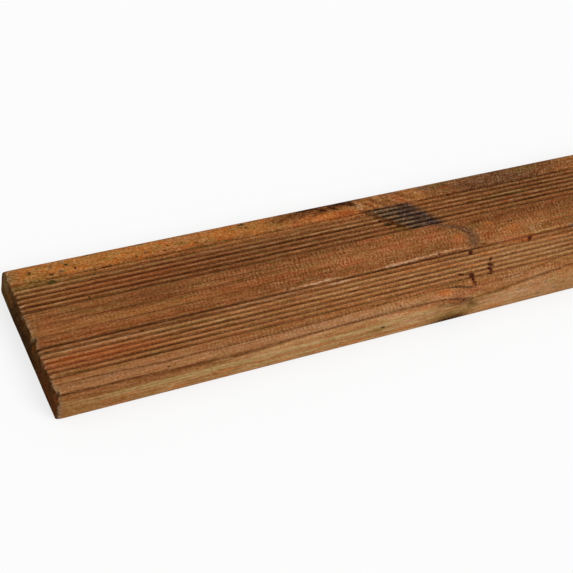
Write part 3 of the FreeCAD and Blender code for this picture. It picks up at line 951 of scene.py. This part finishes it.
# Smaller and sharper marks, laid over the grooves and the knot
SPECKS = (
    # Painted shade: three grooves of the back band made darker far along the board
    ("groove", 0.6, 0.8, on_face, [(500, 125.8, 90, 1.3), (510, 120.6, 90, 1.3), (540, 115.4, 50, 1.2)]),
    ("rosy", 0.5, 0.8, on_face, [(476, 53.8, 20, 1.8), (470, 57.5, 12, 1.6)]),
    ("red_tint", 0.5, 0.8, on_face, [(42, 36, 60, 6.5)]),
    ("red_tint", 0.25, 0.8, on_face, [(90, 107, 90, 8)]),
    ("speck_and_chip_shade", 0.8, 0.45, on_face, [
        (20.9, 135.2, 1.5, 1.7), (38.4, 129, 2.2, 1, 10), (60.4, 130.7, 1.3, 1.5), (26, 124.6, 6, 0.9),
        (6, 124.8, 5, 0.7), (17.7, 119.2, 2.8, 0.8), (76, 124.2, 1.5, 1.2, 30), (74, 120, 1.6, 1.2),
        (85, 125.4, 9, 1, 4), (112.6, 119.2, 1.6, 1), (116.5, 129.4, 1, 1.5), (143.3, 129.4, 1.2, 0.9),
        (153.7, 124.5, 1.6, 0.9), (147.8, 134.4, 1, 0.9), (173.8, 130.7, 1.2, 1), (204.8, 119.4, 2, 1.1),
        (223, 140.5, 4, 1.2), (226, 136, 1.6, 1), (361, 104.6, 3.6, 2.2, -20)]),
    ("speck_and_chip_shade", 0.7, 0.45, on_face, [
        (93.8, 76.6, 1.2, 0.8), (231.8, 57, 1.3, 0.9), (357, 59.5, 1.4, 0.9), (484, 76.7, 1.6, 1),
        (39.4, 48.7, 1.3, 0.8), (90.8, 49.4, 1.8, 0.8), (71.6, 43.7, 1.5, 0.9), (96.8, 32.6, 1.4, 0.8),
        (116.5, 32.6, 1.5, 0.8), (164.6, 53.3, 2.6, 0.9), (179.9, 53.1, 1.4, 0.8), (185.7, 48, 1.4, 0.8),
        (188.3, 43.2, 1.2, 0.8), (213, 27.6, 1.3, 0.8), (202.7, 22, 1.7, 1, 20), (280, 52.6, 1.5, 0.9),
        (291, 38.8, 1.6, 0.9), (97.5, 6.9, 1.3, 0.7), (323, 10, 1.2, 0.8), (3, 109, 2, 1.4),
        (3, 103.7, 2.4, 1), (7.3, 49.7, 1.8, 0.8), (2, 32, 1.4, 0.9)]),
    ("speck_and_chip_shade", 0.7, 0.45, on_face, [
        (319, 48.2, 1.8, 1.1), (332, 49, 1.8, 1.1), (329, 53.6, 1.8, 1.1), (344.6, 43.4, 1.8, 1.1),
        (365, 38.3, 3.4, 0.9), (376.8, 32.4, 2.6, 0.9), (440, 126, 2.2, 1.2), (61, 95.8, 0.9, 2, -10),
        (517, 99.6, 24, 0.9), (365, 59.5, 1, 0.8), (440, 57, 3, 1), (391, 57.4, 2, 0.9, 20)]),
    ("late_wood", 0.5, 0.9, on_face, [
        (522, 62.5, 1.8, 2.4), (262, 135, 4.4, 1.4, 25), (274, 131.5, 4, 1.2, 20), (284, 136, 4.4, 1.6, 25),
        (296, 133.5, 4, 1.4, 30), (306, 136.5, 4.6, 1.6, 25), (457, 134, 3.6, 1.1, 30),
        (471, 129, 3.6, 1, 30), (489, 133, 3.6, 1.1, 30), (505, 138, 3.6, 1.1, 30)]),
    ("pitch_red", 0.9, 0.4, on_face, [
        (408, 25, 3, 3.2, -20), (406, 18, 1.5, 6, -8), (401, 28, 6, 1, -20), (433, 32, 3, 2.6),
        (430, 27, 2.2, 4, -12), (427, 22.5, 3.6, 1.4), (437, 38, 3.6, 1.3, 40), (422, 50.5, 3.2, 2.2, 40),
        (356, 110.5, 3, 1.4, -30), (491, 52, 3.4, 2, 35)]),
    ("blue_grey_and_glint", 0.6, 0.5, on_face, [
        (40.2, 137.1, 1.6, 1.1), (47.3, 130.2, 2.2, 1.3, 20), (51.8, 139.3, 1.6, 1), (126, 132, 2, 1),
        (548, 55, 7, 1.8, -4)]),
    ("moss", 0.9, 0.45, on_face, [
        (36.5, 120.8, 4.6, 2), (54.3, 136.4, 2.4, 1.1), (361, 105, 3.4, 1.6, -20)]),
    ("olive_tint", 0.6, 0.8, on_side, [(372, 9, 24, 7, 8), (396, 17, 8, 6, 40), (300, 16, 8, 3)]),
    ("late_wood", 0.62, 0.8, on_side, [
        (376, 24.6, 18, 2.2, -8), (395, 20, 8, 2.6, -30), (372, 5, 16, 5, 6)]),
    ("end_brown", 0.5, 0.8, on_side, [(0.6, 13, 2.6, 14)]),
    ("speck_and_chip_shade", 0.8, 0.6, on_side, [(378, 3, 15, 4, 5), (302, 17, 2.2, 1.5)]),
    ("blue_grey_and_glint", 0.5, 0.7, on_side, [
        (448, 23, 2.4, 1.4, 30), (455, 21, 2.6, 1.3, 30), (462, 24, 2.4, 1.3, 30), (470, 22, 2.6, 1.3, 30),
        (478, 25, 2.2, 1.2, 30), (458, 15, 1.8, 1.2), (492, 12, 2, 1.2), (474, 9, 1.8, 1.2)]),
    ("pale_fibre", 0.35, 0.8, on_side, [(200, 21, 60, 1), (270, 19, 60, 0.9), (90, 17, 60, 0.8)]),
    ("orange", 0.3, 0.8, on_side, [
        (150, 12, 8, 1.6), (205, 8, 10, 1.6), (240, 15, 8, 1.4), (275, 6, 10, 1.8), (330, 8, 12, 2),
        (420, 9, 14, 2.4), (60, 14, 8, 1.4), (105, 7, 9, 1.4), (465, 20, 10, 3)]),
    ("side_green", 0.62, 0.8, on_side, [
        (170, 18, 130, 1.5, 1), (290, 21, 60, 1.6, 1), (90, 20, 70, 1.4), (240, 10, 90, 1.3, 1)]),
    ("red_tint", 0.25, 0.8, on_side, [(200, 13, 50, 2, 1), (300, 8, 50, 2.4), (250, 24, 50, 1.6, 1)]),
    ("pale_fibre", 0.25, 0.8, on_side, [(335, 16, 26, 4, 10), (440, 18, 30, 6), (330, 24, 30, 1.4, -8)]),
)

# Painted shade in the bottoms of the chips at the shown end, and painted glints in blue grey beside them
CHIP_SHADE_AND_GLINTS = (
    ("speck_and_chip_shade", 0.75, 0.6, on_face, [(1.6, 64.6, 2.4, 2.4), (1.6, 6.7, 2.2, 2), (1.4, 54, 1.8, 1.4)]),
    # Painted glints beside the chips
    ("blue_grey_and_glint", 0.5, 0.7, on_face, [(2.4, 66.2, 2, 1, 20), (2.6, 8.2, 1.4, 0.8, 20)]),
)

# Patches of the sawn ends
END_MARKS = (
    ("knot_black_and_groove_shade", 0.4, 0.8, on_end, [(90, 6, 34, 8), (72, 13, 16, 6), (108, 17, 8, 7)]),
    ("end_red", 0.75, 0.8, on_end, [(33, 10, 13, 8), (5, 12, 7, 13)]),
    ("orange", 0.13, 0.8, on_end, [(61, 21, 2.6, 7, 20), (122, 15, 6, 4), (6, 22, 5, 4)]),
    ("pale_fibre", 0.12, 0.8, on_end, [
        (67.5, 25, 1.6, 4, 15), (92, 26, 3, 2), (40, 26, 2.4, 2), (134, 20, 5, 6)]),
)


def planed_pine(colours, sizes):
    """Pressure-treated pine, planed and grooved by a moulder."""
    # The eye sees matt brown wood, streaked along its fibres and crossed by the knives' faint ripples,
    # with dark growth lines, dark grooves between paler ridges, a knot, and specks of pitch
    material, add = new_material("treated_pine_planed")
    place = board_place(add)
    broadly_shaken = shaken(add, place, (9, 4, 4), (5, 2.2, 2.2))
    finely_shaken = shaken(add, place, (2.6, 1.6, 1.6), (1.3, 0.8, 0.8))
    wood = ground_colour(add, place, colours)
    wood = bent_grain(add, place, wood, colours)
    wood = stained(add, broadly_shaken, wood, STAINS, colours)
    wood = growth_lines(add, place, wood, colours)
    wood, share = groove_shade_and_ridges(add, place, wood, colours, sizes)
    wood = knot_colour(add, finely_shaken, wood, share, colours)
    wood = stained(add, finely_shaken, wood, SPECKS, colours)
    wood = worn_end(add, place, wood, share, colours)
    wood = stained(add, place, wood, CHIP_SHADE_AND_GLINTS, colours)

    # Raised fibres scatter more light: each pattern lifts or deepens the colour through the exponent. The
    # knives' ripples add painted shade
    x, y, z = add(SEPARATE, place).outputs
    mottle = grain_noise(add, place, (2.4, 1.3, 1.3), 2, 0.6, (1, 2, 3))
    fibre = grain_noise(add, place, (16, 1, 1), 2, 0.55, (5, 2, 3))
    slanted = grain_noise(add, place, (3.4, 1.1, 3.4), 2, 0.6, (8, 3, 1), 70)
    bars = ripples(add, place, share)
    lean = add(RAMP, x, 140, 330, 0.2, 1)
    lean = add(TIMES, lean, add(RAMP, z, TOP_MM - 4, TOP_MM - 1.8, 0.25, 1))
    torn = add(TIMES, add(RAMP, slanted, 0.32, 0.68, 0.24, -0.13), lean)
    rougher = add(RAMP, y, 119, 125, 1, 1.9)
    deepen = add(TIMES, add(RAMP, mottle, 0.3, 0.7, 0.22, -0.12), rougher)
    deepen = add(PLUS, deepen, add(RAMP, fibre, 0.3, 0.7, 0.18, -0.16))
    deepen = add(PLUS, deepen, torn)
    deepen = add(PLUS, deepen, add(TIMES, bars, RIPPLE_SHADE))
    wood = add("ShaderNodeGamma", wood, add(PLUS, deepen, 1))
    pits = grain_share(add, place, (3.4, 1.1, 1.1), (0.62, 0.74, 0, 0.6), 2, 0.6, (7, 7, 7))
    wood = add(BLEND, pits, wood, colours.speck_and_chip_shade)

    height = add(PLUS, add(TIMES, mottle, MOTTLE_HEIGHT), add(TIMES, fibre, FIBRE_HEIGHT))
    height = add(PLUS, height, add(TIMES, bars, -RIPPLE_HEIGHT))
    relief = add("ShaderNodeBump", 1, MM, named={"Height": height})
    shader = add("ShaderNodeBsdfPrincipled", wood, named={
        "Roughness": 0.8, "Specular IOR Level": 0.04, "Normal": relief})
    add("ShaderNodeOutputMaterial", shader)
    return material


def sawn_end_grain(colours):
    """The same plank sawn across, dark because end grain soaks up the treatment."""
    # The eye sees a matt, furry brown-black face with olive and reddish patches and slanting saw marks
    material, add = new_material("treated_pine_end_grain")
    place = board_place(add)
    y = add(SEPARATE, place).outputs["Y"]
    patches = grain_share(add, place, (20, 8, 6), (0.45, 0.62, 0, 0.8), 3, 0.6)
    olive = add(PLUS, patches, add(RAMP, y, 100, 140, 0, 0.8), use_clamp=True)
    wood = add(BLEND, olive, colours.end_brown, colours.end_olive)
    towards_front = add(RAMP, y, 60, 0, 0, 0.9)
    patches = grain_share(add, place, (20, 7, 9), (0.45, 0.65, -0.2, 0.4), 2, 0.6, (4, 4, 4))
    wood = add(BLEND, add(PLUS, towards_front, patches, use_clamp=True), wood, colours.end_red)
    wood = stained(add, shaken(add, place, (9, 5, 5), (3, 2.4, 2.4)), wood, END_MARKS, colours)

    # Saw marks slant across the end
    slant = add(MAPPING, place, None, (math.radians(SAW_SLANT), 0, 0), None)
    saw = add(SINE, add(TIMES, add(SEPARATE, slant).outputs["Y"], math.tau / SAW_PITCH))
    fur = grain_noise(add, place, (3, 1, 2.6), 3, 0.7)
    deepen = add(PLUS, add(RAMP, fur, 0.3, 0.7, 1.26, 0.78), add(TIMES, saw, SAW_SHADE))
    wood = add("ShaderNodeGamma", wood, deepen)
    height = add(PLUS, add(TIMES, fur, FUR_HEIGHT), add(TIMES, saw, SAW_HEIGHT))
    relief = add("ShaderNodeBump", 1, MM, named={"Height": height})
    shader = add("ShaderNodeBsdfPrincipled", wood, named={
        "Roughness": 0.95, "Specular IOR Level": 0, "Normal": relief})
    add("ShaderNodeOutputMaterial", shader)
    return material


def stage_floor(settings):
    """Plain pale paper that the camera sees nearly white, with the board's soft shadow left on it."""
    material, add = new_material("pale_floor")
    paper = add("ShaderNodeBsdfDiffuse", settings.floor_colour)
    glow = add("ShaderNodeEmission", WHITE, 1)
    seen = add("ShaderNodeLightPath").outputs["Is Camera Ray"]
    share = add(TIMES, seen, settings.floor_glow)
    add("ShaderNodeOutputMaterial", add("ShaderNodeMixShader", share, paper, glow))
    return material


# Operators

WHITE = (1, 1, 1, 1)
SENSOR_WIDTH = 36

# The way towards each lamp, and how wide it looks from the board in degrees
KEY_WAY = (0.35, -0.62, 0.70)
KEY_SOFTNESS = 35
FILL_WAY = (-0.60, 0.30, 0.74)
FILL_SOFTNESS = 60


class DECKING_OT_board(bpy.types.Operator):
    """Makes the grooved board and its planed and sawn faces"""

    bl_idname = "decking.board"
    bl_label = "Make board"

    def execute(self, context):
        sizes = context.scene.decking_sizes
        colours = context.scene.decking_colours
        section = section_object(sizes)
        values = {size.name: getattr(sizes, size.identifier) for size in sizes.bl_rna.properties
                  if size.name in SWEEP_INPUTS}
        values["Section"] = section
        values["Length"] = BOARD_LENGTH
        values["Middle height"] = (BOARD_LOW.z + BOARD_TOP) / 2
        values["Face material"] = planed_pine(colours, sizes)
        values["End material"] = sawn_end_grain(colours)
        board = plain_mesh_from("grooved_board", board_tree(), values)
        bpy.data.objects.remove(section)
        if not board.data.polygons:
            raise RuntimeError("the board's nodes made no faces")
        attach(board, BODY)
        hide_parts(NODE)
        return {"FINISHED"}


class DECKING_OT_stage(bpy.types.Operator):
    """Sets up the floor, the soft light and the camera"""

    bl_idname = "decking.stage"
    bl_label = "Set up stage"

    def execute(self, context):
        settings = context.scene.decking_stage
        self.lay_floor(context, settings)
        self.light(context, settings)
        self.place_camera(context, settings)
        context.scene.view_settings.view_transform = "Standard"
        return {"FINISHED"}

    def lay_floor(self, context, settings):
        """A level floor under the board."""
        reach = settings.floor_size / 2
        mesh = bpy.data.meshes.new("floor")
        corners = [(-reach, -reach, 0), (reach, -reach, 0), (reach, reach, 0), (-reach, reach, 0)]
        mesh.from_pydata(corners, [], [(0, 1, 2, 3)])
        floor = bpy.data.objects.new("floor", mesh)
        context.collection.objects.link(floor)
        mesh.materials.append(stage_floor(settings))

    def light(self, context, settings):
        """An even sky, a soft key from the front right and a weak fill from behind on the left."""
        world = bpy.data.worlds.new("studio")
        world.use_nodes = True
        world.node_tree.nodes.clear()
        add = partial(add_node, world.node_tree)
        seen = add("ShaderNodeLightPath").outputs["Is Camera Ray"]
        strength = add("ShaderNodeMix", seen, settings.sky_strength, 1)
        add("ShaderNodeOutputWorld", add("ShaderNodeBackground", WHITE, strength))
        context.scene.world = world
        for name, strength, towards, softness in (
                ("key", settings.key_strength, KEY_WAY, KEY_SOFTNESS),
                ("fill", settings.fill_strength, FILL_WAY, FILL_SOFTNESS)):
            lamp = bpy.data.lights.new(name, "SUN")
            lamp.energy = strength
            lamp.angle = math.radians(softness)
            holder = bpy.data.objects.new(name, lamp)
            holder.rotation_euler = Vector(towards).to_track_quat("Z", "Y").to_euler()
            context.collection.objects.link(holder)

    def place_camera(self, context, settings):
        """The photograph's viewpoint, lens and tilt."""
        data = bpy.data.cameras.new("photo_camera")
        data.lens = settings.lens
        data.sensor_width = SENSOR_WIDTH
        camera = bpy.data.objects.new("photo_camera", data)
        camera.matrix_world = (
            Matrix.Translation(settings.aim)
            @ Matrix.Rotation(-settings.azimuth, 4, "Z")
            @ Matrix.Rotation(math.pi / 2 - settings.elevation, 4, "X")
            @ Matrix.Rotation(settings.roll, 4, "Z")
            @ Matrix.Translation((0, 0, settings.distance)))
        context.collection.objects.link(camera)
        context.scene.camera = camera


class DECKING_PT_panel(bpy.types.Panel):
    """Lists the steps of the decking board and its photograph, and their settings"""

    bl_idname = "DECKING_PT_panel"
    bl_label = "Decking board"
    bl_space_type = "VIEW_3D"
    bl_region_type = "UI"
    bl_category = "Decking"

    def draw(self, context):
        for operator in OPERATORS:
            self.layout.operator(operator.bl_idname)
        for group, settings in GROUPS.items():
            box = self.layout.box()
            for name in settings.__annotations__:
                box.prop(getattr(context.scene, group), name)


OPERATORS = (DECKING_OT_board, DECKING_OT_stage)
GROUPS = {
    "decking_sizes": DeckingBoardSizes,
    "decking_colours": DeckingBoardColours,
    "decking_stage": DeckingStageSettings,
}


def register():
    """Registers the classes and hangs the settings on the scene."""
    for name, group in GROUPS.items():
        bpy.utils.register_class(group)
        setattr(bpy.types.Scene, name, bpy.props.PointerProperty(type=group))
    for shown in (*OPERATORS, DECKING_PT_panel):
        bpy.utils.register_class(shown)


def unregister():
    """Takes the classes and settings away again."""
    for shown in reversed((*OPERATORS, DECKING_PT_panel)):
        bpy.utils.unregister_class(shown)
    for name, group in reversed(GROUPS.items()):
        delattr(bpy.types.Scene, name)
        bpy.utils.unregister_class(group)


def main():
    """Makes the board and the stage."""
    register()
    bpy.ops.decking.board()
    bpy.ops.decking.stage()


if __name__ == "__main__":
    main()
